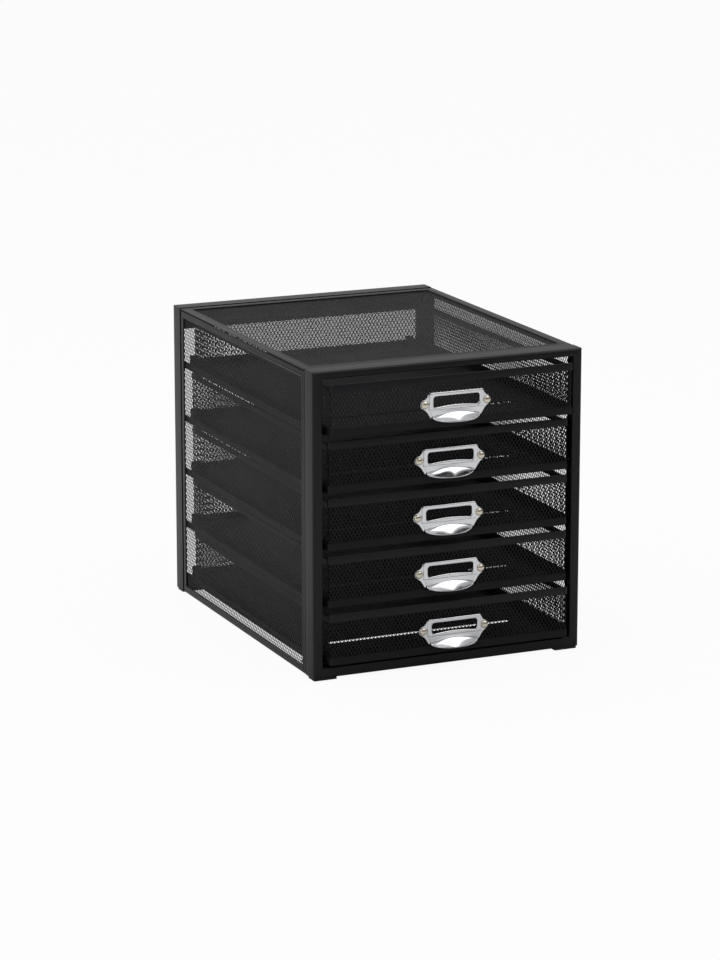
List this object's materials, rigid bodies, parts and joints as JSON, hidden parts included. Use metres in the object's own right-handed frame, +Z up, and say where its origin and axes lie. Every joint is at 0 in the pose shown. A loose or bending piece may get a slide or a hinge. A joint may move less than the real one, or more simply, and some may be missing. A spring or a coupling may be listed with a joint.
{
  "type": "desktop drawer cabinet",
  "caption": "Black perforated steel desktop cabinet with shallow sliding mesh drawers, each with a bright metal label-holder pull.",
  "frame": {"origin": "middle of the rectangle that the object covers at rest, with the drawers as open as they stand, at the underside of the feet", "axes": "+X to the right seen from the front, +Y from the drawer fronts to the open back, +Z up"},
  "size_m": [0.26, 0.3556, 0.277],
  "materials": {
    "black_paint": "satin powder coat",
    "black_mesh": "satin powder coat on perforated sheet",
    "pull_chrome": "bright plated",
    "rivet_nickel": "satin nickel",
    "foot_rubber": "matte"
  },
  "bodies": {
    "cabinet": {"feet": "foot_rubber", "front_frame_bottom": "black_paint", "front_frame_left": "black_paint", "front_frame_right": "black_paint", "front_frame_top": "black_paint", "left_border": "black_paint", "left_side_mesh": "black_mesh", "rear_frame_bottom": "black_paint", "rear_frame_left": "black_paint", "rear_frame_right": "black_paint", "rear_frame_top": "black_paint", "right_border": "black_paint", "right_side_mesh": "black_mesh", "runners_1": "black_paint", "runners_2": "black_paint", "runners_3": "black_paint", "runners_4": "black_paint", "runners_5": "black_paint", "top_border": "black_paint", "top_mesh": "black_mesh"},
    "drawer_1": {"drawer_1_back_mesh": "black_mesh", "drawer_1_front_mesh": "black_mesh", "drawer_1_left_mesh": "black_mesh", "drawer_1_pan": "black_paint", "drawer_1_pull": "pull_chrome", "drawer_1_right_mesh": "black_mesh", "drawer_1_rim": "black_paint", "drawer_1_rivets": "rivet_nickel"},
    "drawer_2": {"drawer_2_back_mesh": "black_mesh", "drawer_2_front_mesh": "black_mesh", "drawer_2_left_mesh": "black_mesh", "drawer_2_pan": "black_paint", "drawer_2_pull": "pull_chrome", "drawer_2_right_mesh": "black_mesh", "drawer_2_rim": "black_paint", "drawer_2_rivets": "rivet_nickel"},
    "drawer_3": {"drawer_3_back_mesh": "black_mesh", "drawer_3_front_mesh": "black_mesh", "drawer_3_left_mesh": "black_mesh", "drawer_3_pan": "black_paint", "drawer_3_pull": "pull_chrome", "drawer_3_right_mesh": "black_mesh", "drawer_3_rim": "black_paint", "drawer_3_rivets": "rivet_nickel"},
    "drawer_4": {"drawer_4_back_mesh": "black_mesh", "drawer_4_front_mesh": "black_mesh", "drawer_4_left_mesh": "black_mesh", "drawer_4_pan": "black_paint", "drawer_4_pull": "pull_chrome", "drawer_4_right_mesh": "black_mesh", "drawer_4_rim": "black_paint", "drawer_4_rivets": "rivet_nickel"},
    "drawer_5": {"drawer_5_back_mesh": "black_mesh", "drawer_5_front_mesh": "black_mesh", "drawer_5_left_mesh": "black_mesh", "drawer_5_pan": "black_paint", "drawer_5_pull": "pull_chrome", "drawer_5_right_mesh": "black_mesh", "drawer_5_rim": "black_paint", "drawer_5_rivets": "rivet_nickel"}
  },
  "joints": [
    {"name": "drawer_1_slide", "type": "slide", "parent": "cabinet", "child": "drawer_1", "axis": [0, -1, 0], "range_m": [-0.009, 0.241]},
    {"name": "drawer_2_slide", "type": "slide", "parent": "cabinet", "child": "drawer_2", "axis": [0, -1, 0], "range_m": [-0.002, 0.248]},
    {"name": "drawer_3_slide", "type": "slide", "parent": "cabinet", "child": "drawer_3", "axis": [0, -1, 0], "range_m": [-0.002, 0.248]},
    {"name": "drawer_4_slide", "type": "slide", "parent": "cabinet", "child": "drawer_4", "axis": [0, -1, 0], "range_m": [-0.002, 0.248]},
    {"name": "drawer_5_slide", "type": "slide", "parent": "cabinet", "child": "drawer_5", "axis": [0, -1, 0], "range_m": [-0.0055, 0.2445]}
  ]
}
